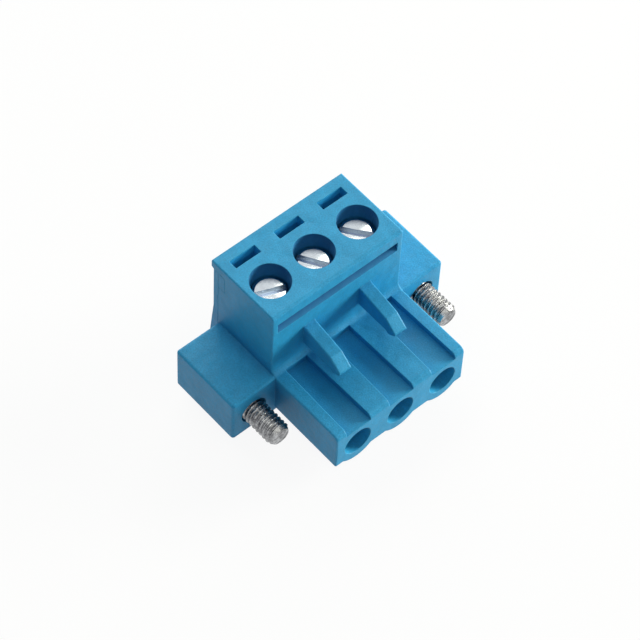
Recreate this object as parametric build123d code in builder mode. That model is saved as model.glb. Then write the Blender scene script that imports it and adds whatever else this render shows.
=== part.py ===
from build123d import *
import os

# A pluggable screw terminal plug with a screw flange at each end.
# +X runs along the row of poles, -Y points towards the header that the plug mates with, +Z is up.
# The origin is at the middle of the underside. Every length is in millimetres.

# Row of poles
poles = 3
pitch = 5.08

# Terminal block
block_height = 15.0
block_depth = 8.35
block_floor = 0.8
step_setback = 0.4
root_radius = 0.7
edge_radius = 0.15
top_front_radius = 0.3

# Mating part
mate_length = 9.02
mate_lift = 1.29
mate_height = 5.25
skin_radius = 2.43
flat_rise = 0.76
ledge = 0.45
channel_depth = 0.65
channel_front_width = 2.85
channel_back_width = 2.5
rib_front_radius = 0.6

# Pin sockets
pin_height = 2.55
socket_radius = 1.53
socket_length = 1.6
chamber_drop = 1.25

# Screw shafts and the pockets behind them
screw_setback = 3.34
pocket_width = 2.88
pocket_length = 0.95
pocket_depth = 3.1
pocket_setback = 1.1

# Marking groove in the front face
groove_margin = 0.6
groove_top = 1.32
groove_height = 1.22
groove_depth = 0.9
groove_back_height = 0.35

# Latching noses
nose_spacing = 6.58
nose_width = 1.38
nose_root_top = 10.64
nose_root_height = 2.35
nose_reach = 5.0
nose_shoulder_reach = 3.7
nose_shoulder_drop = 0.78
nose_tip_drop = 1.86
nose_tip_height = 0.2
nose_hook_depth = 0.26
nose_hook_reach = 4.1
nose_hook_slope = 0.35
nose_edge_radius = 0.12

# Screw flanges
flange_width = 4.93
flange_height = 5.25
flange_stand = 0.6
flange_corner_radius = 0.3
flange_edge_radius = 0.25
flange_inset = 0.3
flange_screw_height = 2.55

# Rear cover
cover_wall = 0.66
cover_fit = 0.03
lip_overhang = 0.3
lip_height = 0.95
hook_reach = 0.89
hook_height = 2.1
hook_width = 0.9
spigot_length = 0.5
flare_top = 8.6
flare_low = 4.4
flare_out = 0.45
flare_foot = 0.9
seam_bevel = 0.08
collar_overhang = 0.3
collar_width = 4.5
collar_height = 4.5
collar_corner_radius = 1.0
wire_height = 3.1
wire_radius = 1.5
funnel_depth = 0.6
funnel_growth = 0.55

# Clamp cages
cage_length = 4.2
cage_floor = 0.8
cage_side = 0.5
cage_crown = 1.8
cage_corner_radius = 0.35
cage_gap = 0.08
cage_rest_gap = 0.1
crown_gap = 0.3
closed_gap = 0.15
cavity_headroom = 0.25
grip_pitch = 0.9
grip_depth = 0.22

# Clamp screws
shank_radius = 1.45
thread_gap = 0.05
seat_bore_gap = 0.08
head_radius = 1.75
head_gap = 0.15
head_height = 1.8
seat_thickness = 1.1
head_bevel = 0.15
tip_bevel = 0.3
tip_gap = 0.1
slot_width = 0.68
slot_depth = 0.85
slot_angles = (-22.0, -58.0, -52.0)

# Contacts
strip_thickness = 0.6
strip_rise = 0.86
strip_gap = 0.1
seat_gap = 0.05
tine_thickness = 0.35
tine_height = 1.6
tine_gap = 0.2
tine_root_length = 2.2
tine_pinch = 0.84
tine_pinch_setback = 1.4
tine_tip_setback = 0.35
tine_tip_flare = 0.35
tine_bend_radius = 1.2

# Flange screws
flange_thread_radius = 1.25
flange_thread_reach = 3.69
flange_tip_length = 0.9
flange_tip_radius = 1.0
flange_thread_gap = 0.1
flange_hole_radius = 1.4
flange_hole_depth = 0.6
flange_neck_radius = 1.02
flange_neck_gap = 0.08
flange_head_radius = 1.88
flange_head_height = 1.8
flange_head_gap = 0.09
flange_head_recess = 0.35
flange_slot_width = 0.6
flange_slot_depth = 0.8

# Places worked out from the sizes
block_width = poles * pitch
total_length = mate_length + block_depth + collar_overhang
front_y = -total_length / 2
face_y = front_y + mate_length
lip_y = face_y + block_depth
cover_rear_y = lip_y - lip_overhang
cover_front_y = cover_rear_y - cover_wall
collar_y = lip_y + collar_overhang
step_y = face_y + step_setback
screw_y = face_y + screw_setback
pocket_rear_y = lip_y - pocket_setback
pocket_front_y = pocket_rear_y - pocket_length

rib_top = mate_lift + mate_height
channel_floor = rib_top - channel_depth
pin_z = mate_lift + pin_height
flat_z = mate_lift + flat_rise
lip_z = block_height - lip_height
pocket_z = block_height - pocket_depth
groove_z = block_height - groove_top
hook_z = lip_z - hook_height

bar_width = 2 * shank_radius
cage_width = bar_width + 2 * strip_gap + 2 * cage_side
cavity_width = cage_width + 2 * cage_gap
chamber_width = bar_width + 2 * seat_gap
cavity_front_y = screw_y - cage_length / 2 - cage_gap
strip_z = pin_z + strip_rise
strip_top = strip_z + strip_thickness
cage_z = block_floor + cage_rest_gap
window_z = cage_z + cage_floor
window_top = strip_top + crown_gap
cage_top = window_top + cage_crown
cage_travel = strip_z - window_z - closed_gap
cavity_top = cage_top + cage_travel + cavity_headroom
chamber_front_y = front_y + socket_length
chamber_z = pin_z - chamber_drop
chamber_top = strip_top + seat_gap

shaft_radius = head_radius + head_gap
seat_z = cavity_top + seat_thickness
head_z = seat_z + seat_gap
head_top = head_z + head_height
spigot_y = cover_front_y - spigot_length

flange_front_y = face_y - flange_stand
flange_z = mate_lift + flange_screw_height
flange_top = mate_lift + flange_height
flange_x = block_width / 2 + flange_width / 2
flange_head_rear_y = cover_front_y - flange_head_recess
flange_head_front_y = flange_head_rear_y - flange_head_height
counterbore_y = flange_head_front_y - seat_gap
thread_back_y = flange_front_y - flange_thread_gap
neck_hole_y = flange_front_y + flange_hole_depth
screw_tip_y = flange_front_y - flange_thread_reach

pole_xs = [(i - (poles - 1) / 2) * pitch for i in range(poles)]
nose_xs = [-nose_spacing / 2, nose_spacing / 2]


def box_between(x0, x1, y0, y1, z0, z1, mode=Mode.ADD):
    """Adds or cuts a box given by its two corners in the current part."""
    with Locations(((x0 + x1) / 2, (y0 + y1) / 2, (z0 + z1) / 2)):
        Box(x1 - x0, y1 - y0, z1 - z0, mode=mode)


def across_y(y):
    """A plane that faces -Y at the given y, with X to its right and Z up."""
    return Plane(origin=(0, y, 0), x_dir=(1, 0, 0), z_dir=(0, -1, 0))


def along_x(x):
    """A plane that faces +X at the given x, with Y to its right and Z up."""
    return Plane(origin=(x, 0, 0), x_dir=(0, 1, 0), z_dir=(1, 0, 0))


os.makedirs("parts", exist_ok=True)

# Housing: one moulding with the terminal block, mating part, noses and flanges
with BuildPart() as housing:
    # Block and mating part, drawn from the side, with the concave root between them
    with BuildSketch(along_x(-block_width / 2)):
        with BuildLine():
            Line((step_y, 0), (cover_front_y, 0))
            Line((cover_front_y, 0), (cover_front_y, lip_z))
            Line((cover_front_y, lip_z), (lip_y - lip_overhang, lip_z))
            Line((lip_y - lip_overhang, lip_z), (lip_y, lip_z + lip_overhang / 2))
            Line((lip_y, lip_z + lip_overhang / 2), (lip_y, block_height))
            Line((lip_y, block_height), (face_y, block_height))
            Line((face_y, block_height), (face_y, rib_top + root_radius))
            RadiusArc((face_y, rib_top + root_radius), (face_y - root_radius, rib_top), root_radius)
            Line((face_y - root_radius, rib_top), (front_y + rib_front_radius, rib_top))
            RadiusArc(
                (front_y + rib_front_radius, rib_top),
                (front_y, rib_top - rib_front_radius),
                -rib_front_radius,
            )
            Line((front_y, rib_top - rib_front_radius), (front_y, flat_z))
            Line((front_y, flat_z), (step_y, flat_z))
            Line((step_y, flat_z), (step_y, 0))
        make_face()
    extrude(amount=block_width)
    top_edges = housing.faces().sort_by(Axis.Z)[-1].edges().filter_by(Axis.X)
    fillet(top_edges.sort_by(Axis.Y)[0], top_front_radius)
    # The side edges run on from the top down the front, the root and the rib as one rounded edge
    side_edges = housing.faces().sort_by(Axis.Z)[-1].edges().filter_by(Axis.Y)
    fillet(side_edges, edge_radius)

    # Round skin under each pin socket
    with BuildSketch(across_y(step_y)):
        with Locations(*[(x, pin_z) for x in pole_xs]):
            Circle(skin_radius)
    extrude(amount=step_y - front_y)

    # Screw flanges, set into the block and rounded outside it
    for side in (-1, 1):
        with BuildSketch(Plane.XY.offset(mate_lift)):
            with Locations((side * (flange_x - flange_inset / 2), (flange_front_y + cover_front_y) / 2)):
                Rectangle(flange_width + flange_inset, cover_front_y - flange_front_y)
        extrude(amount=flange_height)
    outer_faces = housing.faces().filter_by(Axis.X).group_by(Axis.X)
    outer_edges = outer_faces[0].edges() + outer_faces[-1].edges()
    fillet(outer_edges.filter_by(Axis.Z), flange_corner_radius)
    rims = housing.edges().filter_by(lambda edge: abs(edge.center().X) > block_width / 2 + edge_radius)
    low_rims = rims.filter_by_position(Axis.Z, mate_lift, mate_lift)
    high_rims = rims.filter_by_position(Axis.Z, flange_top, flange_top)
    fillet(low_rims + high_rims, flange_edge_radius)

    # Latching noses, drawn from the side
    for x in nose_xs:
        with BuildSketch(along_x(x - nose_width / 2)):
            with BuildLine():
                Polyline(
                    (face_y + edge_radius, nose_root_top),
                    (face_y, nose_root_top),
                    (face_y - nose_shoulder_reach, nose_root_top - nose_shoulder_drop),
                    (face_y - nose_reach, nose_root_top - nose_tip_drop),
                    (face_y - nose_reach, nose_root_top - nose_tip_drop - nose_tip_height),
                    (face_y - nose_hook_reach, nose_root_top - nose_root_height - nose_hook_depth),
                    (face_y - nose_hook_reach + nose_hook_slope, nose_root_top - nose_root_height),
                    (face_y + edge_radius, nose_root_top - nose_root_height),
                    close=True,
                )
            make_face()
        extrude(amount=nose_width)
    nose_edges = housing.edges().filter_by_position(
        Axis.Y, face_y - nose_reach, face_y - nose_edge_radius
    ).filter_by_position(Axis.Z, nose_root_top - nose_tip_drop, nose_root_top)
    fillet(nose_edges, nose_edge_radius)

    # Channels for coding pieces, open at the front and a little wider there
    for x in pole_xs:
        with BuildSketch(Plane.XY.offset(channel_floor)):
            with BuildLine():
                Polyline(
                    (x - channel_back_width / 2, face_y - ledge),
                    (x + channel_back_width / 2, face_y - ledge),
                    (x + channel_front_width / 2, front_y),
                    (x - channel_front_width / 2, front_y),
                    close=True,
                )
            make_face()
        extrude(amount=channel_depth + root_radius, mode=Mode.SUBTRACT)

    # Marking groove, with a floor that slopes out to the front face
    with BuildSketch(along_x(-block_width / 2 + groove_margin)):
        with BuildLine():
            Polyline(
                (face_y, groove_z),
                (face_y + groove_depth, groove_z),
                (face_y + groove_depth, groove_z - groove_back_height),
                (face_y, groove_z - groove_height),
                close=True,
            )
        make_face()
    extrude(amount=block_width - 2 * groove_margin, mode=Mode.SUBTRACT)

    # Inside of each pole: screw shaft and seat, clamp cavity, chamber, pin socket and pocket
    for x in pole_xs:
        with Locations((x, screw_y, (seat_z + block_height) / 2)):
            Cylinder(shaft_radius, block_height - seat_z, mode=Mode.SUBTRACT)
        with Locations((x, screw_y, (cavity_top + seat_z) / 2)):
            Cylinder(shank_radius + seat_bore_gap, seat_z - cavity_top, mode=Mode.SUBTRACT)
        box_between(
            x - cavity_width / 2,
            x + cavity_width / 2,
            cavity_front_y,
            cover_front_y,
            block_floor,
            cavity_top,
            Mode.SUBTRACT,
        )
        box_between(
            x - chamber_width / 2,
            x + chamber_width / 2,
            chamber_front_y,
            cavity_front_y,
            chamber_z,
            chamber_top,
            Mode.SUBTRACT,
        )
        with BuildSketch(across_y(chamber_front_y)):
            with Locations((x, pin_z)):
                Circle(socket_radius)
        extrude(amount=socket_length, mode=Mode.SUBTRACT)
        # The pocket is closed by the lip at the top and by the rear cover below it
        for rear_y, low_z, high_z in ((pocket_rear_y, lip_z, block_height), (cover_front_y, pocket_z, lip_z)):
            box_between(
                x - pocket_width / 2,
                x + pocket_width / 2,
                pocket_front_y,
                rear_y,
                low_z,
                high_z,
                Mode.SUBTRACT,
            )

    # Notches for the two hooks of the rear cover
    for side in (-1, 1):
        outer = side * block_width / 2
        inner = outer - side * hook_width
        box_between(
            min(outer, inner),
            max(outer, inner),
            cover_front_y - hook_reach,
            cover_front_y,
            hook_z,
            lip_z,
            Mode.SUBTRACT,
        )

    # Screw holes in the flanges: a head recess, a neck hole and a wider mouth
    for side in (-1, 1):
        x = side * flange_x
        with BuildSketch(across_y(cover_front_y)):
            with Locations((x, flange_z)):
                Circle(flange_head_radius + flange_head_gap)
        extrude(amount=cover_front_y - counterbore_y, mode=Mode.SUBTRACT)
        with BuildSketch(across_y(counterbore_y)):
            with Locations((x, flange_z)):
                Circle(flange_neck_radius + flange_neck_gap)
        extrude(amount=counterbore_y - neck_hole_y, mode=Mode.SUBTRACT)
        with BuildSketch(across_y(neck_hole_y)):
            with Locations((x, flange_z)):
                Circle(flange_hole_radius)
        extrude(amount=neck_hole_y - flange_front_y, mode=Mode.SUBTRACT)

housing.part.label = "housing"
export_step(housing.part, "parts/housing.step")

# Rear cover: a plate that hooks under the lip, with a wire funnel for each pole
with BuildPart() as rear_cover:
    with BuildSketch(along_x(-block_width / 2)):
        with BuildLine():
            Polyline(
                (cover_front_y, 0),
                (cover_front_y, lip_z - cover_fit),
                (cover_rear_y, lip_z - cover_fit),
                (cover_rear_y, flare_top),
                (cover_rear_y + flare_out, flare_low),
                (cover_rear_y + flare_out, flare_foot),
                (cover_rear_y + flare_out - flare_foot / 2, 0),
                close=True,
            )
        make_face()
    extrude(amount=block_width)
    seam_edges = rear_cover.faces().sort_by(Axis.Y)[0].edges().filter_by(Axis.Z)
    chamfer(seam_edges, seam_bevel)

    # Collars round the wire entries
    with BuildSketch(across_y(collar_y)):
        with Locations(*[(x, wire_height) for x in pole_xs]):
            RectangleRounded(collar_width, collar_height, collar_corner_radius)
    extrude(amount=collar_y - cover_rear_y)

    # Hooks that fill the notches of the housing
    for side in (-1, 1):
        outer = side * block_width / 2
        inner = outer - side * (hook_width - cover_fit)
        box_between(
            min(outer, inner),
            max(outer, inner),
            cover_front_y - hook_reach + cover_fit,
            cover_front_y,
            hook_z + cover_fit,
            lip_z - cover_fit,
        )

    # Spigots that seat in the clamp cavities, and the wire holes through them
    for x in pole_xs:
        box_between(
            x - cavity_width / 2 + cover_fit,
            x + cavity_width / 2 - cover_fit,
            spigot_y,
            cover_front_y,
            block_floor + cover_fit,
            strip_top,
        )
        with BuildSketch(across_y(collar_y)):
            with Locations((x, wire_height)):
                Circle(wire_radius)
        extrude(amount=collar_y - spigot_y, mode=Mode.SUBTRACT)
        with BuildSketch(across_y(collar_y)):
            with Locations((x, wire_height)):
                Circle(wire_radius + funnel_growth)
        with BuildSketch(across_y(collar_y - funnel_depth)):
            with Locations((x, wire_height)):
                Circle(wire_radius)
        loft(mode=Mode.SUBTRACT)

rear_cover.part.label = "rear_cover"
export_step(rear_cover.part, "parts/rear_cover.step")

# One clamp screw, clamp cage and contact for each pole
for i, x in enumerate(pole_xs):
    with BuildPart() as clamp_screw:
        with BuildSketch(Plane(origin=(x, screw_y, 0), x_dir=(1, 0, 0), z_dir=(0, -1, 0))):
            with BuildLine():
                Polyline(
                    (0, strip_top + tip_gap),
                    (shank_radius - tip_bevel, strip_top + tip_gap),
                    (shank_radius, strip_top + tip_gap + tip_bevel),
                    (shank_radius, head_z),
                    (head_radius, head_z),
                    (head_radius, head_top - head_bevel),
                    (head_radius - head_bevel, head_top),
                    (0, head_top),
                    close=True,
                )
            make_face()
        revolve(axis=Axis((x, screw_y, 0), (0, 0, 1)))
        with BuildSketch(Plane(origin=(x, screw_y, head_top), z_dir=(0, 0, 1))):
            Rectangle(3 * head_radius, slot_width, rotation=slot_angles[i % len(slot_angles)])
        extrude(amount=-slot_depth, mode=Mode.SUBTRACT)
    clamp_screw.part.label = f"clamp_screw_{i + 1}"
    export_step(clamp_screw.part, f"parts/clamp_screw_{i + 1}.step")

    with BuildPart() as clamp_cage:
        with BuildSketch(Plane.XY.offset(cage_z)):
            with Locations((x, screw_y)):
                RectangleRounded(cage_width, cage_length, cage_corner_radius)
        extrude(amount=cage_top - cage_z)
        box_between(
            x - cage_width / 2 + cage_side,
            x + cage_width / 2 - cage_side,
            screw_y - cage_length / 2,
            screw_y + cage_length / 2,
            window_z,
            window_top,
            Mode.SUBTRACT,
        )
        with Locations((x, screw_y, (window_top + cage_top) / 2)):
            Cylinder(shank_radius + thread_gap, cage_crown, mode=Mode.SUBTRACT)
        # Grip grooves across the floor that presses on the wire
        for step in (-1, 0, 1):
            grip_y = screw_y + step * grip_pitch
            with BuildSketch(along_x(x - cage_width / 2 + cage_side)):
                with BuildLine():
                    Polyline(
                        (grip_y - grip_depth, window_z),
                        (grip_y + grip_depth, window_z),
                        (grip_y, window_z - grip_depth),
                        close=True,
                    )
                make_face()
            extrude(amount=cage_width - 2 * cage_side, mode=Mode.SUBTRACT)
    clamp_cage.part.label = f"clamp_cage_{i + 1}"
    export_step(clamp_cage.part, f"parts/clamp_cage_{i + 1}.step")

    with BuildPart() as contact:
        # Current bar, from the end of the chamber through the cage window to the spigot
        box_between(
            x - bar_width / 2,
            x + bar_width / 2,
            chamber_front_y + seat_gap,
            spigot_y - seat_gap,
            strip_z,
            strip_top,
        )
        # Two tines that pinch the pin, hung from the bar at their roots
        root_x = (bar_width - tine_thickness) / 2
        pinch_x = tine_pinch / 2 + tine_thickness / 2
        root_y = cavity_front_y - tine_root_length
        pinch_y = chamber_front_y + tine_pinch_setback
        tip_y = chamber_front_y + tine_tip_setback
        tine_top = strip_z - tine_gap
        for side in (-1, 1):
            with BuildSketch(Plane.XY.offset(tine_top - tine_height)):
                with BuildLine():
                    FilletPolyline(
                        (x + side * root_x, cavity_front_y),
                        (x + side * root_x, root_y),
                        (x + side * pinch_x, pinch_y),
                        (x + side * (pinch_x + tine_tip_flare), tip_y),
                        radius=tine_bend_radius,
                    )
                trace(line_width=tine_thickness)
            extrude(amount=tine_height)
            root_edge = x + side * (root_x + tine_thickness / 2)
            root_inner = x + side * (root_x - tine_thickness / 2)
            box_between(
                min(root_edge, root_inner),
                max(root_edge, root_inner),
                root_y + tine_thickness,
                cavity_front_y,
                tine_top - tine_thickness,
                strip_z,
            )
    contact.part.label = f"contact_{i + 1}"
    export_step(contact.part, f"parts/contact_{i + 1}.step")

# Captive screws of the two flanges
for side, name in ((-1, "flange_screw_left"), (1, "flange_screw_right")):
    x = side * flange_x
    with BuildPart() as flange_screw:
        with BuildSketch(Plane(origin=(x, 0, flange_z), x_dir=(1, 0, 0), z_dir=(0, 0, 1))):
            with BuildLine():
                Polyline(
                    (0, screw_tip_y),
                    (flange_tip_radius, screw_tip_y),
                    (flange_thread_radius, screw_tip_y + flange_tip_length),
                    (flange_thread_radius, thread_back_y),
                    (flange_neck_radius, thread_back_y),
                    (flange_neck_radius, flange_head_front_y),
                    (flange_head_radius, flange_head_front_y),
                    (flange_head_radius, flange_head_rear_y - head_bevel),
                    (flange_head_radius - head_bevel, flange_head_rear_y),
                    (0, flange_head_rear_y),
                    close=True,
                )
            make_face()
        revolve(axis=Axis((x, 0, flange_z), (0, 1, 0)))
        with BuildSketch(across_y(flange_head_rear_y)):
            with Locations((x, flange_z)):
                Rectangle(3 * flange_head_radius, flange_slot_width)
        extrude(amount=flange_slot_depth, mode=Mode.SUBTRACT)
    flange_screw.part.label = name
    export_step(flange_screw.part, f"parts/{name}.step")
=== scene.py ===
"""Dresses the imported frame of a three-pole terminal block plug: mouldings, plating and threads."""

import math

import bmesh
import bpy
from mathutils import Matrix, Vector, noise


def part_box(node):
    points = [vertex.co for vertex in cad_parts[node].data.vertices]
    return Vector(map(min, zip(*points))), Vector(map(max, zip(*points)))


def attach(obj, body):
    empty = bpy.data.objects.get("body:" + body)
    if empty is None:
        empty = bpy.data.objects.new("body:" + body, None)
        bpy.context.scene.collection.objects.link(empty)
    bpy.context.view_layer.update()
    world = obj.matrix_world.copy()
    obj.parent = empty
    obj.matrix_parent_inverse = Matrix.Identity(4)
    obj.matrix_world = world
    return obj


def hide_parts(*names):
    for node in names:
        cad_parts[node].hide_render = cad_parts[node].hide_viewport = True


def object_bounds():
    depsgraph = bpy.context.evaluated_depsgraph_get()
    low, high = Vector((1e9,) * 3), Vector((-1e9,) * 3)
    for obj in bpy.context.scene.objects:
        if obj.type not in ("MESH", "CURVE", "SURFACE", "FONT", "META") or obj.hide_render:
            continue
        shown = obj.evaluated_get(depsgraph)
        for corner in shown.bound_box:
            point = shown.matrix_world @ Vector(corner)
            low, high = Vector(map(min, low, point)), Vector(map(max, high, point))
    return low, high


bl_info = {
    "name": "Terminal Block Plug",
    "version": (1, 0, 0),
    "blender": (4, 5, 0),
    "location": "View3D > Sidebar > Terminal Plug",
    "description": "Mouldings, screws, contacts and studio of a pluggable terminal block",
    "category": "Object",
}

MM = 0.001
POLES = (1, 2, 3)
FLANGE_SIDES = ("left", "right")

# Shares of a thread's pitch at which its crest ends, its root starts and its root ends.
THREAD_CORNERS = (0.14, 0.44, 0.70)
# Depth of a thread, as a share of its pitch.
THREAD_DEPTH = 0.38
# Faces that meet at more than this angle keep a crisp edge.
CRISP_ANGLE = math.radians(32)
# How far a mask reaches past the walls that it tints.
MASK_MARGIN = 0.01 * MM
# Sides of a screw head, and of a flange screw's thread.
HEAD_SIDES = 72
CLAMP_THREAD_SIDES = 36

# Azimuth and elevation in degrees of each soft box, and its width in metres.
SOFT_BOXES = {
    "key": (70, 12, 0.20),
    "side": (135, 25, 0.35),
    "back": (180, 45, 0.35),
    "front": (0, 60, 0.35),
}
LAMP_COLOUR = (1.0, 0.985, 0.85)
ROOM_COLOUR = (0.30, 0.63, 1.0, 1.0)
PAPER_COLOUR = (0.86, 0.86, 0.86, 1.0)
WHITE = (1.0, 1.0, 1.0, 1.0)

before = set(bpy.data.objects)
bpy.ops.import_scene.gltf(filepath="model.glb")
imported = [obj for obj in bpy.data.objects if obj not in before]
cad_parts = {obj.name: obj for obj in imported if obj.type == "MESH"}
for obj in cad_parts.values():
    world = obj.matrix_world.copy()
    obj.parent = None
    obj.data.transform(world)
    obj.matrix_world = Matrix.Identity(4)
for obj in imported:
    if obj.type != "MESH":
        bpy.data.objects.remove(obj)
CAD_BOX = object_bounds()


class MouldingLook(bpy.types.PropertyGroup):
    """Finish of the blue polyamide mouldings, with their painted shade, edge highlights and pocket
    light.
    """

    colour: bpy.props.FloatVectorProperty(
        name="Colour",
        description="Colour of the moulded polyamide",
        subtype="COLOR",
        size=3,
        min=0.0,
        max=1.0,
        default=(0.022, 0.300, 0.572),
    )
    # Painted highlight: a paler colour painted along the edges, where rounded edges catch the light.
    edge_highlight_colour: bpy.props.FloatVectorProperty(
        name="Edge colour",
        description="Paler colour where the skin is thin along edges",
        subtype="COLOR",
        size=3,
        min=0.0,
        max=1.0,
        default=(0.034, 0.350, 0.620),
    )
    # Painted shade: a deeper colour painted into grooves, shafts and corners, where shade falls.
    painted_shade_colour: bpy.props.FloatVectorProperty(
        name="Hollow colour",
        description="Deeper colour in grooves and corners, where dust and shade gather",
        subtype="COLOR",
        size=3,
        min=0.0,
        max=1.0,
        default=(0.002, 0.096, 0.272),
    )
    roughness: bpy.props.FloatProperty(
        name="Roughness",
        description="Mean roughness of the spark-eroded surface",
        min=0.0,
        max=1.0,
        default=0.50,
    )
    grain_size: bpy.props.FloatProperty(
        name="Grain size",
        description="Width of one grain of the mould texture",
        subtype="DISTANCE",
        unit="LENGTH",
        default=0.14 * MM,
    )
    grain_depth: bpy.props.FloatProperty(
        name="Grain depth",
        description="Height of the grain",
        subtype="DISTANCE",
        unit="LENGTH",
        default=0.018 * MM,
    )
    edge_radius: bpy.props.FloatProperty(
        name="Edge radius",
        description="Radius that rounds the moulded edges in the shading",
        subtype="DISTANCE",
        unit="LENGTH",
        default=0.12 * MM,
    )
    # Painted light: a clearer colour painted on the walls inside the pockets behind the screws.
    pocket_light_colour: bpy.props.FloatVectorProperty(
        name="Pocket colour",
        description="Clearer colour of the thin walls round the pockets behind the screws",
        subtype="COLOR",
        size=3,
        min=0.0,
        max=1.0,
        default=(0.034, 0.385, 0.700),
    )
    pocket_middle: bpy.props.FloatProperty(
        name="Pocket place",
        description="Where the middle of the pockets stands, from the middle of the plug",
        subtype="DISTANCE",
        unit="LENGTH",
        default=7.14 * MM,
    )
    pocket_size: bpy.props.FloatVectorProperty(
        name="Pocket size",
        description="Length and width of a pocket, with the gap behind it",
        subtype="XYZ",
        unit="LENGTH",
        size=2,
        default=(2.88 * MM, 1.34 * MM),
    )
    shaft_radius: bpy.props.FloatProperty(
        name="Shaft radius",
        description="Radius of the shafts above the clamp screws",
        subtype="DISTANCE",
        unit="LENGTH",
        default=1.9 * MM,
    )
    face_place: bpy.props.FloatProperty(
        name="Front face place",
        description="Where the front face of the block stands, from the middle of the plug",
        subtype="DISTANCE",
        unit="LENGTH",
        default=0.185 * MM,
    )
    groove_middle: bpy.props.FloatProperty(
        name="Groove height",
        description="Height of the middle of the marking groove",
        subtype="DISTANCE",
        unit="LENGTH",
        default=13.07 * MM,
    )
    groove_width: bpy.props.FloatProperty(
        name="Groove width",
        description="Width of the marking groove's mouth",
        subtype="DISTANCE",
        unit="LENGTH",
        default=1.22 * MM,
    )
    groove_length: bpy.props.FloatProperty(
        name="Groove length",
        description="Length of the marking groove",
        subtype="DISTANCE",
        unit="LENGTH",
        default=14.04 * MM,
    )
    groove_depth: bpy.props.FloatProperty(
        name="Groove depth",
        description="Depth of the marking groove behind the front face",
        subtype="DISTANCE",
        unit="LENGTH",
        default=0.95 * MM,
    )


class PlatingLook(bpy.types.PropertyGroup):
    """Finish of the zinc-plated screws and cages and of the tin-plated contacts."""

    zinc_colour: bpy.props.FloatVectorProperty(
        name="Zinc colour",
        description="Colour of the bright zinc on the screws",
        subtype="COLOR",
        size=3,
        min=0.0,
        max=1.0,
        default=(0.66, 0.72, 0.77),
    )
    zinc_roughness: bpy.props.FloatProperty(
        name="Zinc roughness",
        description="Mean roughness of the zinc on the clamp screws",
        min=0.0,
        max=1.0,
        default=0.12,
    )
    cage_roughness: bpy.props.FloatProperty(
        name="Cage roughness",
        description="Mean roughness of the zinc on the clamp cages",
        min=0.0,
        max=1.0,
        default=0.30,
    )
    tin_colour: bpy.props.FloatVectorProperty(
        name="Tin colour",
        description="Colour of the tin on the contacts",
        subtype="COLOR",
        size=3,
        min=0.0,
        max=1.0,
        default=(0.72, 0.71, 0.68),
    )
    tin_roughness: bpy.props.FloatProperty(
        name="Tin roughness",
        description="Mean roughness of the tin",
        min=0.0,
        max=1.0,
        default=0.36,
    )
    # Partly wear and partly painted shade: the threads are kept darker than the heads to stand in
    # for shade.
    thread_wear_and_shade_colour: bpy.props.FloatVectorProperty(
        name="Thread colour",
        description="Colour of the worn plating on the flange screws",
        subtype="COLOR",
        size=3,
        min=0.0,
        max=1.0,
        default=(0.45, 0.46, 0.47),
    )
    thread_roughness: bpy.props.FloatProperty(
        name="Thread roughness",
        description="Mean roughness of the threads of the flange screws",
        min=0.0,
        max=1.0,
        default=0.20,
    )
    head_colour: bpy.props.FloatVectorProperty(
        name="Flange head colour",
        description="Colour of the zinc on the heads of the flange screws",
        subtype="COLOR",
        size=3,
        min=0.0,
        max=1.0,
        default=(0.62, 0.64, 0.66),
    )
    head_roughness: bpy.props.FloatProperty(
        name="Flange head roughness",
        description="Mean roughness of the heads of the flange screws",
        min=0.0,
        max=1.0,
        default=0.24,
    )
    # Partly grime and partly painted shade: a darker colour in slots, thread roots and other
    # hollows.
    grime_and_shade_colour: bpy.props.FloatVectorProperty(
        name="Grime colour",
        description="Colour of the grime in slots and thread roots",
        subtype="COLOR",
        size=3,
        min=0.0,
        max=1.0,
        default=(0.045, 0.045, 0.055),
    )
    # Painted shade: the deeper, bluer colour painted into the slots of the clamp screws.
    slot_shade_colour: bpy.props.FloatVectorProperty(
        name="Slot colour",
        description="Colour at the bottom of a clamp screw's slot",
        subtype="COLOR",
        size=3,
        min=0.0,
        max=1.0,
        default=(0.40, 0.47, 0.60),
    )
    mark_spacing: bpy.props.FloatProperty(
        name="Tool mark spacing",
        description="Distance between the turning marks on a clamp screw's head",
        subtype="DISTANCE",
        unit="LENGTH",
        default=0.07 * MM,
    )
    head_mark_spacing: bpy.props.FloatProperty(
        name="Flange tool mark spacing",
        description="Distance between the turning marks on a flange screw's head",
        subtype="DISTANCE",
        unit="LENGTH",
        default=0.1 * MM,
    )


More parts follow.
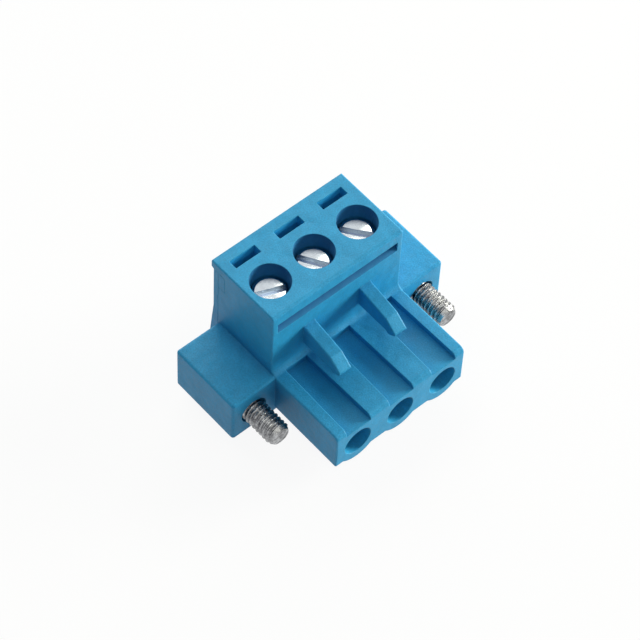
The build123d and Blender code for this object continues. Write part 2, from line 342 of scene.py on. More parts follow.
class ScrewSizes(bpy.types.PropertyGroup):
    """Sizes of the threads and slots. Places and outer radii come from the frame."""

    clamp_pitch: bpy.props.FloatProperty(
        name="Clamp screw pitch",
        description="Pitch of the clamp screw thread",
        subtype="DISTANCE",
        unit="LENGTH",
        default=0.5 * MM,
    )
    clamp_slot_angles: bpy.props.FloatVectorProperty(
        name="Clamp slot angles",
        description="Angle of each clamp screw's slot from the row, in pole order",
        subtype="EULER",
        unit="ROTATION",
        size=3,
        default=(math.radians(-22), math.radians(-58), math.radians(-52)),
    )
    slot_width: bpy.props.FloatProperty(
        name="Clamp slot width",
        description="Width of the screwdriver slot in a clamp screw",
        subtype="DISTANCE",
        unit="LENGTH",
        default=0.68 * MM,
    )
    slot_depth: bpy.props.FloatProperty(
        name="Clamp slot depth",
        description="Depth of the screwdriver slot in a clamp screw",
        subtype="DISTANCE",
        unit="LENGTH",
        default=0.85 * MM,
    )
    head_bevel: bpy.props.FloatProperty(
        name="Flange screw bevel",
        description="Bevel round a flange screw's head",
        subtype="DISTANCE",
        unit="LENGTH",
        default=0.15 * MM,
    )
    clamp_bevel: bpy.props.FloatProperty(
        name="Clamp screw bevel",
        description="Width of the bevel round a clamp screw's head",
        subtype="DISTANCE",
        unit="LENGTH",
        default=0.36 * MM,
    )
    head_dish: bpy.props.FloatProperty(
        name="Head dish",
        description="How far the middle of a clamp screw's head lies below its rim",
        subtype="DISTANCE",
        unit="LENGTH",
        default=0.08 * MM,
    )
    clamp_head_height: bpy.props.FloatProperty(
        name="Clamp head height",
        description="Height of a clamp screw's head",
        subtype="DISTANCE",
        unit="LENGTH",
        default=1.8 * MM,
    )
    flange_pitch: bpy.props.FloatProperty(
        name="Flange screw pitch",
        description="Pitch of the flange screw thread",
        subtype="DISTANCE",
        unit="LENGTH",
        default=0.45 * MM,
    )
    flange_thread_length: bpy.props.FloatProperty(
        name="Flange thread length",
        description="Length of the flange screw's thread from its tip",
        subtype="DISTANCE",
        unit="LENGTH",
        default=3.9 * MM,
    )
    flange_thread_radius: bpy.props.FloatProperty(
        name="Flange thread radius",
        description="Outer radius of the flange screw's thread",
        subtype="DISTANCE",
        unit="LENGTH",
        default=1.25 * MM,
    )
    flange_tip: bpy.props.FloatVectorProperty(
        name="Flange screw tip",
        description="Radius at the flange screw's tip, and the length of its taper",
        subtype="XYZ",
        unit="LENGTH",
        size=2,
        default=(0.98 * MM, 0.42 * MM),
    )
    flange_wear: bpy.props.FloatProperty(
        name="Flange thread wear",
        description="How deep wear and plating flaws reach into the flange screw's thread",
        subtype="DISTANCE",
        unit="LENGTH",
        default=0.09 * MM,
    )
    flange_neck_radius: bpy.props.FloatProperty(
        name="Flange neck radius",
        description="Radius of the plain neck between the thread and the head",
        subtype="DISTANCE",
        unit="LENGTH",
        default=1.02 * MM,
    )
    flange_head_height: bpy.props.FloatProperty(
        name="Flange head height",
        description="Height of a flange screw's head",
        subtype="DISTANCE",
        unit="LENGTH",
        default=1.8 * MM,
    )
    flange_slot_width: bpy.props.FloatProperty(
        name="Flange slot width",
        description="Width of the screwdriver slot in a flange screw",
        subtype="DISTANCE",
        unit="LENGTH",
        default=0.6 * MM,
    )
    flange_slot_depth: bpy.props.FloatProperty(
        name="Flange slot depth",
        description="Depth of the screwdriver slot in a flange screw",
        subtype="DISTANCE",
        unit="LENGTH",
        default=0.8 * MM,
    )


class StudioLook(bpy.types.PropertyGroup):
    """Camera, lights and floor."""

    azimuth: bpy.props.FloatProperty(
        name="Azimuth",
        description="Where the camera stands round the plug, 0 being in front of it",
        subtype="ANGLE",
        unit="ROTATION",
        default=math.radians(-43.6288),
    )
    elevation: bpy.props.FloatProperty(
        name="Elevation",
        description="Height of the camera above the horizon",
        subtype="ANGLE",
        unit="ROTATION",
        default=math.radians(55.2785),
    )
    roll: bpy.props.FloatProperty(
        name="Roll",
        description="Tilt of the camera about its own axis",
        subtype="ANGLE",
        unit="ROTATION",
        default=math.radians(3.3355),
    )
    distance: bpy.props.FloatProperty(
        name="Distance",
        description="Distance from the camera to the point that it aims at",
        subtype="DISTANCE",
        unit="LENGTH",
        default=269.1666 * MM,
    )
    aim: bpy.props.FloatVectorProperty(
        name="Aim",
        description="Point at the middle of the picture",
        subtype="TRANSLATION",
        unit="LENGTH",
        size=3,
        default=(-0.5619 * MM, 1.6846 * MM, 6.8835 * MM),
    )
    lens: bpy.props.FloatProperty(
        name="Lens",
        description="Focal length in millimetres on a sensor 36 mm wide",
        default=167.6207,
    )
    lamp_distance: bpy.props.FloatProperty(
        name="Lamp distance",
        description="Distance from the plug to each soft box",
        subtype="DISTANCE",
        unit="LENGTH",
        default=0.5,
    )
    key_power: bpy.props.FloatProperty(
        name="Key power",
        description="Power of the low soft box off the front right corner, in watts",
        default=4.05,
    )
    side_power: bpy.props.FloatProperty(
        name="Side power",
        description="Power of the soft box off the back right corner, in watts",
        default=1.45,
    )
    back_power: bpy.props.FloatProperty(
        name="Back power",
        description="Power of the soft box above the back, in watts",
        default=1.05,
    )
    front_power: bpy.props.FloatProperty(
        name="Front power",
        description="Power of the weak soft box high above the front, in watts",
        default=0.54,
    )
    room_light: bpy.props.FloatProperty(
        name="Room light",
        description="Strength of the even light from all round",
        default=0.130,
    )


def blank_material(name):
    """Makes a material that holds only a shader and its output, and returns it with its nodes."""
    material = bpy.data.materials.new(name)
    material.use_nodes = True
    tree = material.node_tree
    tree.nodes.clear()
    output = tree.nodes.new("ShaderNodeOutputMaterial")
    output.location = (600, 0)
    shader = tree.nodes.new("ShaderNodeBsdfPrincipled")
    shader.location = (300, 0)
    tree.links.new(shader.outputs["BSDF"], output.inputs["Surface"])
    return material, tree, shader


def grain_noise(tree, coordinates, feature, detail, place):
    """Noise whose features are about the given size, in metres."""
    node = tree.nodes.new("ShaderNodeTexNoise")
    node.location = place
    node.inputs["Scale"].default_value = 1 / feature
    node.inputs["Detail"].default_value = detail
    node.inputs["Roughness"].default_value = 0.55
    tree.links.new(coordinates, node.inputs["Vector"])
    return node.outputs["Fac"]


def remapped(tree, value, low, high, place, source=(0.3, 0.7)):
    """The value stretched from the source range to low and high."""
    node = tree.nodes.new("ShaderNodeMapRange")
    node.location = place
    node.inputs["From Min"].default_value = source[0]
    node.inputs["From Max"].default_value = source[1]
    node.inputs["To Min"].default_value = low
    node.inputs["To Max"].default_value = high
    tree.links.new(value, node.inputs["Value"])
    return node.outputs["Result"]


def mixed_colour(tree, amount, first, second, place):
    """One colour blended into another by a value. Either may be a colour or a socket."""
    node = tree.nodes.new("ShaderNodeMix")
    node.data_type = "RGBA"
    node.location = place
    tree.links.new(amount, node.inputs["Factor"])
    for name, colour in (("A", first), ("B", second)):
        socket = next(s for s in node.inputs if s.name == name and s.type == "RGBA")
        if isinstance(colour, bpy.types.NodeSocket):
            tree.links.new(colour, socket)
        else:
            socket.default_value = (*colour, 1.0)
    return next(s for s in node.outputs if s.type == "RGBA")


def rounded_normal(tree, radius, place):
    """A normal that rounds sharp edges over the given radius."""
    node = tree.nodes.new("ShaderNodeBevel")
    node.samples = 6
    node.location = place
    node.inputs["Radius"].default_value = radius
    return node.outputs["Normal"]


def edge_amount(tree, rounded, place):
    """How near a point is to an edge: 0 on a flat face and 1 along the edge."""
    left, top = place
    surface = tree.nodes.new("ShaderNodeNewGeometry")
    surface.location = (left - 200, top)
    turn = tree.nodes.new("ShaderNodeVectorMath")
    turn.operation = "DOT_PRODUCT"
    turn.location = place
    tree.links.new(rounded, turn.inputs[0])
    tree.links.new(surface.outputs["Normal"], turn.inputs[1])
    return remapped(tree, turn.outputs["Value"], 1.0, 0.0, (left + 200, top), source=(0.80, 0.99))


def calculated(tree, operation, first, second, place, third=None):
    """Result of one sum on sockets or plain numbers."""
    node = tree.nodes.new("ShaderNodeMath")
    node.operation = operation
    node.location = place
    for socket, value in zip(node.inputs, (first, second, third)):
        if isinstance(value, bpy.types.NodeSocket):
            tree.links.new(value, socket)
        elif value is not None:
            socket.default_value = value
    return node.outputs["Value"]


def hollow_amount(tree, reach, openness, most, place):
    """How deep a point lies in a hollow of its own piece, from 0 in the open to most in a corner.

    Reach is the width of the hollows, and openness is how open the point is at 0 and at most.
    """
    left, top = place
    node = tree.nodes.new("ShaderNodeAmbientOcclusion")
    node.location = place
    node.samples = 8
    node.only_local = True
    node.inputs["Distance"].default_value = reach
    return remapped(tree, node.outputs["AO"], 0.0, most, (left + 200, top), source=openness)


def bumped(tree, height, distance, place, normal=None):
    """A bump of the given depth on top of a normal."""
    node = tree.nodes.new("ShaderNodeBump")
    node.location = place
    node.inputs["Distance"].default_value = distance
    tree.links.new(height, node.inputs["Height"])
    if normal is not None:
        tree.links.new(normal, node.inputs["Normal"])
    return node.outputs["Normal"]


def object_coordinates(tree):
    """The object's own coordinates, in metres."""
    node = tree.nodes.new("ShaderNodeTexCoord")
    node.location = (-1200, 0)
    return node.outputs["Object"]


def distance_from_pole(tree, x, place):
    """Distance along the row from the middle of the nearest pole."""
    first, second = (box_middle(f"clamp_screw_{pole}")[0] for pole in POLES[:2])
    left, top = place
    away = calculated(tree, "ABSOLUTE", x, None, (left, top))
    return calculated(tree, "PINGPONG", away, (second.x - first.x) / 2, (left + 200, top))


def shaft_shade_mask(tree, axes, look, place):
    """1 on the walls of the screw shafts, where shade is painted, and 0 elsewhere."""
    middle = box_middle(f"clamp_screw_{POLES[0]}")[0]
    reach = look.shaft_radius + 3 * MASK_MARGIN
    x, y, z = axes
    left, top = place
    across = distance_from_pole(tree, x, (left, top))
    along = calculated(tree, "SUBTRACT", y, middle.y, (left + 200, top - 200))
    across = calculated(tree, "POWER", across, 2.0, (left + 400, top))
    along = calculated(tree, "POWER", along, 2.0, (left + 400, top - 200))
    square = calculated(tree, "ADD", across, along, (left + 600, top))
    round_wall = calculated(tree, "LESS_THAN", square, reach**2, (left + 800, top))
    above_flanges = calculated(tree, "GREATER_THAN", z, middle.z, (left + 800, top - 200))
    return calculated(tree, "MULTIPLY", round_wall, above_flanges, (left + 1000, top))


def groove_shade_mask(tree, axes, look, place):
    """Painted shade in the marking groove, rising from its mouth to its back, and 0 elsewhere."""
    mouth_shade, deepening_length = 0.70, 0.35 * MM
    length = look.groove_length / 2 + MASK_MARGIN
    width = look.groove_width / 2 + MASK_MARGIN
    depth = look.groove_depth / 2 - MASK_MARGIN
    face = look.face_place
    x, y, z = axes
    left, top = place
    within = calculated(tree, "COMPARE", x, 0.0, (left, top), length)
    level = calculated(tree, "COMPARE", z, look.groove_middle, (left, top - 200), width)
    inside = calculated(tree, "COMPARE", y, face + look.groove_depth / 2, (left, top - 400), depth)
    ramp = (face, face + deepening_length)
    shade_deepening = remapped(tree, y, mouth_shade, 1.0, (left, top - 600), source=ramp)
    both = calculated(tree, "MULTIPLY", within, level, (left + 200, top))
    all_three = calculated(tree, "MULTIPLY", both, inside, (left + 400, top))
    return calculated(tree, "MULTIPLY", all_three, shade_deepening, (left + 600, top))


def pocket_light_mask(tree, axes, look, place):
    """1 on the walls of the pockets behind the screws, where light is painted, and 0 elsewhere."""
    middle = box_middle(f"clamp_screw_{POLES[0]}")[0]
    length, width = (size / 2 + MASK_MARGIN for size in look.pocket_size)
    top_face = CAD_BOX[1].z - 3 * MASK_MARGIN
    x, y, z = axes
    left, top = place
    across = distance_from_pole(tree, x, (left, top))
    within = calculated(tree, "LESS_THAN", across, length, (left + 400, top))
    between = calculated(tree, "COMPARE", y, look.pocket_middle, (left, top - 200), width)
    below = calculated(tree, "LESS_THAN", z, top_face, (left, top - 400))
    above = calculated(tree, "GREATER_THAN", z, middle.z, (left + 200, top - 400))
    both = calculated(tree, "MULTIPLY", within, between, (left + 600, top))
    heights = calculated(tree, "MULTIPLY", below, above, (left + 400, top - 400))
    return calculated(tree, "MULTIPLY", both, heights, (left + 800, top))


def mottled_body(tree, grain, drift, look):
    """The moulded colour, mottled by its grain and by a slow drift of tone."""
    deep_tone, bright_tone = 0.80, 1.11
    drift_share = 0.35
    mottle = calculated(tree, "MULTIPLY_ADD", drift, drift_share, (-700, 300), grain)
    amount = remapped(tree, mottle, 0.0, 1.0, (-550, 300), source=(0.45, 0.90))
    deep = tuple(deep_tone * c for c in look.colour)
    bright = tuple(bright_tone * c for c in look.colour)
    return mixed_colour(tree, amount, deep, bright, (-400, 300))


def moulded_polyamide(name, look):
    """Matt blue polyamide with a spark-eroded grain; painted highlights, shade in cuts and pocket
    light.
    """
    drift_size, swell_size = 1.6 * MM, 1.4 * MM
    corner_reach, corner_shade_most = 1.6 * MM, 0.5
    shaft_shade_share, cut_shade_share = 0.82, 0.92
    grain_spread, cut_roughness = 0.07, 0.3
    material, tree, shader = blank_material(name)
    where = object_coordinates(tree)
    split = tree.nodes.new("ShaderNodeSeparateXYZ")
    split.location = (-1900, 0)
    tree.links.new(where, split.inputs["Vector"])
    axes = tuple(split.outputs)
    drift = grain_noise(tree, where, drift_size, 2.0, (-900, 300))
    grain = grain_noise(tree, where, look.grain_size, 3.0, (-900, -300))
    swell = grain_noise(tree, where, swell_size, 1.0, (-900, -600))
    rounded = rounded_normal(tree, look.edge_radius, (-900, -900))

    body = mottled_body(tree, grain, drift, look)
    # Painted highlight: a paler colour along the edges.
    edge = edge_amount(tree, rounded, (-650, 600))
    body = mixed_colour(tree, edge, body, look.edge_highlight_colour, (-200, 300))
    # Painted shade on the shaft walls and in the marking groove, which also turn rougher.
    shafts = shaft_shade_mask(tree, axes, look, (-1700, 1200))
    groove = groove_shade_mask(tree, axes, look, (-1700, 800))
    shafts = calculated(tree, "MULTIPLY", shafts, shaft_shade_share, (-600, 1200))
    cut = calculated(tree, "MAXIMUM", shafts, groove, (-400, 1100))
    cut_shade = calculated(tree, "MULTIPLY", cut, cut_shade_share, (-200, 1100))
    # Painted shade in corners, deeper where a point is less open.
    corner = hollow_amount(tree, corner_reach, (0.85, 0.25), corner_shade_most, (-650, 900))
    hollow = calculated(tree, "MAXIMUM", corner, cut_shade, (0, 900))
    colour = mixed_colour(tree, hollow, body, look.painted_shade_colour, (100, 300))
    # Painted light: a clearer colour on the walls of the pockets.
    pockets = pocket_light_mask(tree, axes, look, (-1700, 1900))
    colour = mixed_colour(tree, pockets, colour, look.pocket_light_colour, (200, 500))
    tree.links.new(colour, shader.inputs["Base Color"])

    low, high = look.roughness - grain_spread, look.roughness + grain_spread
    shine = remapped(tree, grain, low, high, (-400, 0))
    shine = calculated(tree, "MULTIPLY_ADD", cut, cut_roughness, (0, 0), shine)
    tree.links.new(shine, shader.inputs["Roughness"])

    normal = bumped(tree, swell, 4 * look.grain_depth, (-400, -600), rounded)
    normal = bumped(tree, grain, look.grain_depth, (-150, -400), normal)
    tree.links.new(normal, shader.inputs["Normal"])
    shader.inputs["IOR"].default_value = 1.53
    shader.inputs["Specular IOR Level"].default_value = 0.27
    return material


def ring_marks(tree, where, spacing, place):
    """Waves of the given spacing round the object's own Z axis, as a turning tool leaves them."""
    unscaled_spacing = 2 * math.pi / 20
    rings = tree.nodes.new("ShaderNodeTexWave")
    rings.location = place
    rings.wave_type = "RINGS"
    rings.rings_direction = "Z"
    rings.inputs["Scale"].default_value = unscaled_spacing / spacing
    rings.inputs["Distortion"].default_value = 0.4
    rings.inputs["Detail"].default_value = 1.0
    tree.links.new(where, rings.inputs["Vector"])
    return rings.outputs["Fac"]


def plated_metal(
    name,
    colour,
    roughness,
    edge_radius,
    dirt_and_shade_colour,
    dirt_and_shade_reach,
    dirt_and_shade_openness,
    pit_depth,
    cloud_size=0.9 * MM,
    cloud_tone=0.82,
    mark_spacing=None,
):
    """Plated metal with a cloudy sheen, fine pits and a darker colour in its hollows.

    The darker colour is partly grime and partly painted shade. It lies in hollows narrower than its
    reach, and its openness is how open a point is where it starts and where it is full. Cloud tone
    is the share of the colour left in the dull clouds. Turned faces get ring marks at the given
    spacing.
    """
    pit_size, mark_depth = 0.09 * MM, 0.001 * MM
    material, tree, shader = blank_material(name)
    where = object_coordinates(tree)
    cloud = grain_noise(tree, where, cloud_size, 3.0, (-900, 300))
    pits = grain_noise(tree, where, pit_size, 3.0, (-900, -300))
    rounded = rounded_normal(tree, edge_radius, (-900, -900))

    dull = tuple(cloud_tone * c for c in colour)
    clearness = remapped(tree, cloud, 0.0, 1.0, (-650, 300))
    tint = mixed_colour(tree, clearness, dull, colour, (-400, 300))
    # Darker in hollows: partly grime, partly painted shade.
    hollow = hollow_amount(tree, dirt_and_shade_reach, dirt_and_shade_openness, 1.0, (-650, 600))
    tint = mixed_colour(tree, hollow, tint, dirt_and_shade_colour, (-150, 500))
    tree.links.new(tint, shader.inputs["Base Color"])
    sheen = remapped(tree, cloud, 1.4 * roughness, 0.6 * roughness, (-400, 0))
    tree.links.new(sheen, shader.inputs["Roughness"])

    normal = bumped(tree, pits, pit_depth, (-400, -300), rounded)
    if mark_spacing is not None:
        rings = ring_marks(tree, where, mark_spacing, (-900, -600))
        normal = bumped(tree, rings, mark_depth, (-150, -500), normal)
    tree.links.new(normal, shader.inputs["Normal"])
    shader.inputs["Metallic"].default_value = 1.0
    return material


def dress_node(name, material):
    """Gives a node of the frame its finish."""
    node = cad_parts[name]
    node.data.materials.clear()
    node.data.materials.append(material)


def add_turned(bm, outline, sides):
    """Adds a closed solid of revolution about Z, from (radius, height) points in rising order."""
    rings = []
    for radius, height in outline:
        ring = []
        for i in range(sides):
            angle = 2 * math.pi * i / sides
            ring.append(bm.verts.new((radius * math.cos(angle), radius * math.sin(angle), height)))
        rings.append(ring)
    for low, high in zip(rings, rings[1:]):
        for i in range(sides):
            j = (i + 1) % sides
            bm.faces.new((low[i], low[j], high[j], high[i]))
    bm.faces.new(list(reversed(rings[0])))
    bm.faces.new(rings[-1])


def thread_radius(phase, crest, root):
    """Radius of a thread at a share of its pitch, counted from the start of the crest."""
    crest_end, root_start, root_end = THREAD_CORNERS
    if phase < crest_end:
        return crest
    if phase < root_start:
        return crest + (root - crest) * (phase - crest_end) / (root_start - crest_end)
    if phase < root_end:
        return root
    return root + (crest - root) * (phase - root_end) / (1 - root_end)


def add_thread(bm, start, end, crest, pitch, tip, wear, sides):
    """Adds a closed right-hand thread on the Z axis, whose rows follow the helix.

    Tip is the (radius, length) of its tapered start, and wear is how far its surface strays.
    """
    wear_patch = 0.16 * MM
    tip_radius, tip_length = tip
    root = crest - THREAD_DEPTH * pitch
    corners = (0.0, *THREAD_CORNERS)
    per_turn = len(corners)
    rows = per_turn * math.ceil((end - start) / pitch + 1)
    bottom, top, between = {}, {}, {}

    def corner(row, side):
        """The vertex at a corner of the thread, shared by the faces that meet there."""
        if side == sides:
            row, side = row + per_turn, 0
        turned = side / sides
        nominal = start + pitch * (row // per_turn + corners[row % per_turn] + turned - 1)
        height = min(max(nominal, start), end)
        store, key = between, (row, side)
        if nominal <= start:
            store, key = bottom, side
        elif nominal >= end:
            store, key = top, side
        if key not in store:
            phase = ((height - start) / pitch - turned) % 1.0
            tapered = tip_radius + (crest - tip_radius) * (height - start) / tip_length
            radius = min(thread_radius(phase, crest, root), tapered)
            angle = 2 * math.pi * turned
            place = Vector((radius * math.cos(angle), radius * math.sin(angle), height))
            radius -= wear * (0.5 + 0.5 * noise.noise(place / wear_patch))
            store[key] = bm.verts.new((radius * math.cos(angle), radius * math.sin(angle), height))
        return store[key]

    for row in range(rows):
        for side in range(sides):
            lower = (corner(row, side), corner(row, side + 1))
            upper = (corner(row + 1, side + 1), corner(row + 1, side))
            loop = lower + upper
            face = [v for i, v in enumerate(loop) if v is not loop[i - 1]]
            if len(set(face)) > 2:
                bm.faces.new(face)
    bm.faces.new([bottom[i] for i in reversed(range(sides))])
    bm.faces.new([top[i] for i in range(sides)])


def piece_from(bm, name):
    """Turns mesh data into an object whose edges stay crisp and whose round faces are smooth."""
    bmesh.ops.recalc_face_normals(bm, faces=bm.faces)
    mesh = bpy.data.meshes.new(name)
    bm.to_mesh(mesh)
    bm.free()
    mesh.shade_smooth()
    mesh.set_sharp_from_angle(angle=CRISP_ANGLE)
    piece = bpy.data.objects.new(name, mesh)
    bpy.context.scene.collection.objects.link(piece)
    return piece


def dished(radius, depth):
    """Outline points of a shallow dish, from inside its rim to near its middle."""
    steps = 8
    points = []
    for i in range(1, steps):
        share = 1 - i / steps
        points.append((radius * share, depth * (share * share - 1)))
    return points


def slotted_head(outline, slot_width, slot_depth, slot_angle):
    """Mesh data of a turned head with a screwdriver slot across its top."""
    head_bm = bmesh.new()
    add_turned(head_bm, outline, HEAD_SIDES)
    head = piece_from(head_bm, "head_blank")
    top = max(height for _, height in outline)
    reach = 3 * max(radius for radius, _ in outline)
    cutter_bm = bmesh.new()
    bmesh.ops.create_cube(cutter_bm, size=1.0)
    cutter_bm.transform(
        Matrix.Translation((0, 0, top))
        @ Matrix.Rotation(slot_angle, 4, "Z")
        @ Matrix.Diagonal((reach, slot_width, 2 * slot_depth, 1))
    )
    cutter = piece_from(cutter_bm, "slot_cutter")
    cut = head.modifiers.new("slot", "BOOLEAN")
    cut.operation = "DIFFERENCE"
    cut.solver = "EXACT"
    cut.object = cutter
    graph = bpy.context.evaluated_depsgraph_get()
    finished = bmesh.new()
    finished.from_mesh(head.evaluated_get(graph).data)
    for blank in (head, cutter):
        mesh = blank.data
        bpy.data.objects.remove(blank)
        bpy.data.meshes.remove(mesh)
    return finished


def box_middle(node):
    """Middle of a node's box at rest, with its lowest and highest corners."""
    low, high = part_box(node)
    return (low + high) / 2, low, high


class PLUG_OT_mould_body(bpy.types.Operator):
    """Gives the housing and the rear cover their moulded polyamide"""

    bl_idname = "plug.mould_body"
    bl_label = "Mould Housing and Cover"

    def execute(self, context):
        look = context.scene.plug_moulding
        polyamide = moulded_polyamide("blue_polyamide", look)
        for node in ("housing", "rear_cover"):
            dress_node(node, polyamide)
        return {"FINISHED"}


class PLUG_OT_plate_contacts(bpy.types.Operator):
    """Gives the contacts their tin and the clamp cages their zinc"""

    bl_idname = "plug.plate_contacts"
    bl_label = "Plate Contacts and Cages"

    def execute(self, context):
        look = context.scene.plug_plating
        # The contacts and cages turn darker in their hollows.
        dirt_and_shade = {
            "dirt_and_shade_colour": look.grime_and_shade_colour,
            "dirt_and_shade_reach": 0.3 * MM,
            "dirt_and_shade_openness": (0.80, 0.30),
            "pit_depth": 0.002 * MM,
        }
        tin = plated_metal("tin_plate", look.tin_colour, look.tin_roughness, 0.03 * MM, **dirt_and_shade)
        zinc = plated_metal("cage_zinc", look.zinc_colour, look.cage_roughness, 0.05 * MM, **dirt_and_shade)
        for pole in POLES:
            dress_node(f"contact_{pole}", tin)
            dress_node(f"clamp_cage_{pole}", zinc)
        return {"FINISHED"}


class PLUG_OT_turn_clamp_screws(bpy.types.Operator):
    """Turns the three clamp screws, with their slots and threads"""

    bl_idname = "plug.turn_clamp_screws"
    bl_label = "Turn Clamp Screws"

    def execute(self, context):
        look, sizes = context.scene.plug_plating, context.scene.plug_screws
        # Painted shade in the slots and along their edges.
        zinc = plated_metal(
            "clamp_screw_zinc",
            look.zinc_colour,
            look.zinc_roughness,
            edge_radius=0.05 * MM,
            dirt_and_shade_colour=look.slot_shade_colour,
            dirt_and_shade_reach=0.5 * MM,
            dirt_and_shade_openness=(0.95, 0.45),
            pit_depth=0.0012 * MM,
            mark_spacing=look.mark_spacing,
        )
        head = -sizes.clamp_head_height
        bevel = sizes.clamp_bevel
        under_bevel = 0.05 * MM
        thread_step = 0.3 * MM
        core_overlap = 0.2 * MM
        for pole, slot_angle in zip(POLES, sizes.clamp_slot_angles):
            node = f"clamp_screw_{pole}"
            middle, low, high = box_middle(node)
            length = high.z - low.z
            radius = (high.x - low.x) / 2
            shank = radius - thread_step
            core = shank - thread_step
            outline = (
                (core, head - core_overlap),
                (core, head),
                (radius - under_bevel, head),
                (radius, head + under_bevel),
                (radius, -0.65 * bevel),
                (radius - 0.40 * bevel, -0.30 * bevel),
                (radius - bevel, 0.0),
                *dished(radius - bevel, sizes.head_dish),
            )
            bm = slotted_head(outline, sizes.slot_width, sizes.slot_depth, slot_angle)
            tip = (core, thread_step)
            add_thread(bm, -length, head, shank, sizes.clamp_pitch, tip, 0.0, CLAMP_THREAD_SIDES)
            screw = piece_from(bm, f"{node}_turned")
            screw.location = (middle.x, middle.y, high.z)
            screw.data.materials.append(zinc)
            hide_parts(node)
            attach(screw, node)
        return {"FINISHED"}


class PLUG_OT_turn_flange_screws(bpy.types.Operator):
    """Turns the two captive flange screws, with their threads, necks and slotted heads"""

    bl_idname = "plug.turn_flange_screws"
    bl_label = "Turn Flange Screws"

    def execute(self, context):
        look, sizes = context.scene.plug_plating, context.scene.plug_screws
        # Thread roots take grime and painted shade.
        thread_grime_and_shade = tuple(2.6 * c for c in look.grime_and_shade_colour)
        worn = plated_metal(
            "flange_screw_zinc",
            look.thread_wear_and_shade_colour,
            look.thread_roughness,
            edge_radius=0.02 * MM,
            dirt_and_shade_colour=thread_grime_and_shade,
            dirt_and_shade_reach=0.25 * MM,
            dirt_and_shade_openness=(0.90, 0.40),
            pit_depth=0.030 * MM,
            cloud_size=0.40 * MM,
            cloud_tone=0.25,
        )
        bright = plated_metal(
            "flange_head_zinc",
            look.head_colour,
            look.head_roughness,
            edge_radius=0.05 * MM,
            dirt_and_shade_colour=look.grime_and_shade_colour,
            dirt_and_shade_reach=0.5 * MM,
            dirt_and_shade_openness=(0.90, 0.40),
            pit_depth=0.003 * MM,
            mark_spacing=look.head_mark_spacing,
        )
        head = -sizes.flange_head_height
        bevel = sizes.head_bevel
        under_bevel = 0.05 * MM
        neck = sizes.flange_neck_radius
        neck_overlap = 0.1 * MM
        for side in FLANGE_SIDES:
            node = f"flange_screw_{side}"
            middle, low, high = box_middle(node)
            length = high.y - low.y
            radius = (high.x - low.x) / 2
            thread_end = sizes.flange_thread_length - length
            outline = (
                (neck, thread_end - neck_overlap),
                (neck, head),
                (radius - under_bevel, head),
                (radius, head + under_bevel),
                (radius, -bevel),
                (radius - 0.6 * bevel, -0.4 * bevel),
                (radius - 1.3 * bevel, 0.0),
            )
            bm = slotted_head(outline, sizes.flange_slot_width, sizes.flange_slot_depth, 0.0)
            add_thread(
                bm,
                -length,
                thread_end,
                sizes.flange_thread_radius,
                sizes.flange_pitch,
                sizes.flange_tip,
                sizes.flange_wear,
                HEAD_SIDES,
            )
            screw = piece_from(bm, f"{node}_turned")
            screw.rotation_euler = (-math.pi / 2, 0, 0)
            screw.location = (middle.x, high.y, middle.z)
            screw.data.materials.append(worn)
            screw.data.materials.append(bright)
            for face in screw.data.polygons:
                face.material_index = int(face.center.z > head + 0.01 * MM)
            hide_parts(node)
            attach(screw, node)
        return {"FINISHED"}


def direction(azimuth, elevation):
    """Unit vector from the plug. Azimuth 0 is in front of it, and 90 degrees off its right end."""
    level = math.cos(elevation)
    return Vector((math.sin(azimuth) * level, -math.cos(azimuth) * level, math.sin(elevation)))


def soft_box(name, azimuth, elevation, width, power):
    """A square area lamp that faces the plug, at angles in degrees."""
    aim = (CAD_BOX[0] + CAD_BOX[1]) / 2
    away = direction(math.radians(azimuth), math.radians(elevation))
    lamp = bpy.data.lights.new(name, "AREA")
    lamp.shape = "SQUARE"
    lamp.size = width
    lamp.energy = power
    lamp.color = LAMP_COLOUR
    holder = bpy.data.objects.new(name, lamp)
    holder.location = aim + bpy.context.scene.plug_studio.lamp_distance * away
    holder.rotation_euler = away.to_track_quat("Z", "Y").to_euler()
    bpy.context.scene.collection.objects.link(holder)


def white_to_camera(tree, surface, white_node, share, place):
    """Blends a shader towards white for camera rays, and for the reflections that it sees."""
    left, top = place
    rays = tree.nodes.new("ShaderNodeLightPath")
    rays.location = (left - 600, top + 200)
    seen = rays.outputs["Is Camera Ray"]
    for kind in ("Is Glossy Ray", "Is Transmission Ray"):
        seen = calculated(tree, "MAXIMUM", seen, rays.outputs[kind], (left - 400, top + 200))
    amount = calculated(tree, "MULTIPLY", seen, share, (left - 200, top + 200))
    white = tree.nodes.new(white_node)
    white.location = (left - 200, top - 150)
    white.inputs["Color"].default_value = WHITE
    white.inputs["Strength"].default_value = 1.0
    blend = tree.nodes.new("ShaderNodeMixShader")
    blend.location = place
    tree.links.new(amount, blend.inputs["Fac"])
    tree.links.new(surface, blend.inputs[1])
    tree.links.new(white.outputs[0], blend.inputs[2])
    return blend.outputs["Shader"]


def lay_floor():
    """Lays a round sheet of white paper that keeps the plug's shadow."""
    bm = bmesh.new()
    bmesh.ops.create_circle(bm, cap_ends=True, segments=96, radius=1.5)
    floor = piece_from(bm, "studio_floor")
    paper, tree, shader = blank_material("white_paper")
    shader.inputs["Base Color"].default_value = PAPER_COLOUR
    shader.inputs["Roughness"].default_value = 0.9
    shader.inputs["Specular IOR Level"].default_value = 0.1
    output = tree.nodes["Material Output"]
    surface = shader.outputs["BSDF"]
    surface = white_to_camera(tree, surface, "ShaderNodeEmission", 0.92, (450, 200))
    tree.links.new(surface, output.inputs["Surface"])
    floor.data.materials.append(paper)


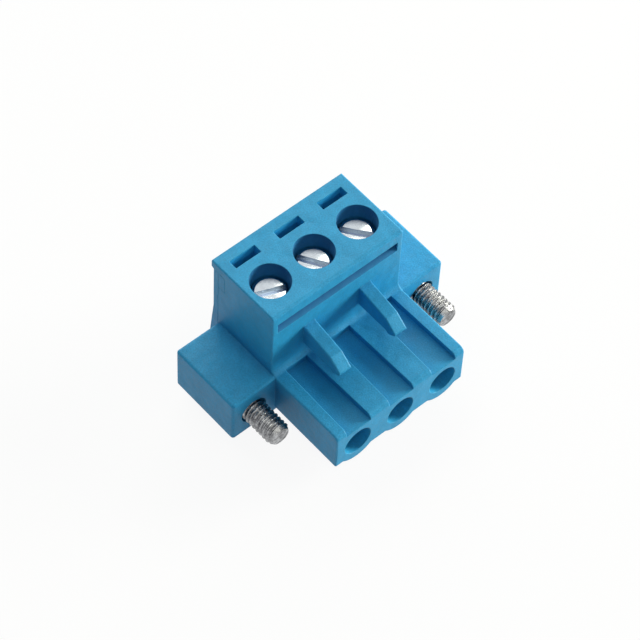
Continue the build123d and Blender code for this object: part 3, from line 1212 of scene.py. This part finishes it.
def light_room(scene, look):
    """Sets the even light from all round, which the camera sees as white."""
    world = bpy.data.worlds.new("studio_room")
    world.use_nodes = True
    tree = world.node_tree
    room = tree.nodes["Background"]
    room.inputs["Color"].default_value = ROOM_COLOUR
    room.inputs["Strength"].default_value = look.room_light
    surface = room.outputs["Background"]
    surface = white_to_camera(tree, surface, "ShaderNodeBackground", 1.0, (200, 200))
    tree.links.new(surface, tree.nodes["World Output"].inputs["Surface"])
    scene.world = world


def stand_camera(scene, look):
    """Stands the camera where the photograph was taken from."""
    right = Vector((math.cos(look.azimuth), math.sin(look.azimuth), 0.0))
    back = direction(look.azimuth, look.elevation)
    up = back.cross(right)
    tilted_right = math.cos(look.roll) * right + math.sin(look.roll) * up
    tilted_up = back.cross(tilted_right)
    stand = Matrix((tilted_right, tilted_up, back)).transposed().to_4x4()
    stand.translation = Vector(look.aim) + look.distance * back
    camera_data = bpy.data.cameras.new("studio_camera")
    camera_data.lens = look.lens
    camera_data.sensor_width = 36.0
    camera_data.clip_start = 0.01
    camera_data.clip_end = 10.0
    camera = bpy.data.objects.new("studio_camera", camera_data)
    camera.matrix_world = stand
    scene.collection.objects.link(camera)
    scene.camera = camera


class PLUG_OT_set_studio(bpy.types.Operator):
    """Sets the floor, the lights and the camera"""

    bl_idname = "plug.set_studio"
    bl_label = "Set Studio"

    def execute(self, context):
        scene = context.scene
        look = scene.plug_studio
        scene.view_settings.view_transform = "Standard"
        lay_floor()
        light_room(scene, look)
        powers = {
            "key": look.key_power,
            "side": look.side_power,
            "back": look.back_power,
            "front": look.front_power,
        }
        for name, (azimuth, elevation, width) in SOFT_BOXES.items():
            soft_box(f"{name}_box", azimuth, elevation, width, powers[name])
        stand_camera(scene, look)
        return {"FINISHED"}


class PLUG_PT_sidebar(bpy.types.Panel):
    """Lists the plug's making steps in the sidebar"""

    bl_idname = "PLUG_PT_sidebar"
    bl_label = "Terminal Plug"
    bl_space_type = "VIEW_3D"
    bl_region_type = "UI"
    bl_category = "Terminal Plug"

    def draw(self, context):
        for step in STEPS:
            self.layout.operator(step.bl_idname)
        for group in SETTINGS:
            box = self.layout.box()
            settings = getattr(context.scene, group)
            for name in settings.bl_rna.properties.keys():
                if name not in {"rna_type", "name"}:
                    box.prop(settings, name)


STEPS = (
    PLUG_OT_mould_body,
    PLUG_OT_plate_contacts,
    PLUG_OT_turn_clamp_screws,
    PLUG_OT_turn_flange_screws,
    PLUG_OT_set_studio,
)
SETTINGS = {
    "plug_moulding": MouldingLook,
    "plug_plating": PlatingLook,
    "plug_screws": ScrewSizes,
    "plug_studio": StudioLook,
}


def register():
    """Registers the settings, the operators and the panel."""
    for name, group in SETTINGS.items():
        bpy.utils.register_class(group)
        setattr(bpy.types.Scene, name, bpy.props.PointerProperty(type=group))
    for step in STEPS:
        bpy.utils.register_class(step)
    bpy.utils.register_class(PLUG_PT_sidebar)


def unregister():
    """Removes what register added, in reverse."""
    bpy.utils.unregister_class(PLUG_PT_sidebar)
    for step in reversed(STEPS):
        bpy.utils.unregister_class(step)
    for name, group in reversed(SETTINGS.items()):
        delattr(bpy.types.Scene, name)
        bpy.utils.unregister_class(group)


def main():
    """Makes every piece and the studio."""
    register()
    bpy.ops.plug.mould_body()
    bpy.ops.plug.plate_contacts()
    bpy.ops.plug.turn_clamp_screws()
    bpy.ops.plug.turn_flange_screws()
    bpy.ops.plug.set_studio()


if __name__ == "__main__":
    main()
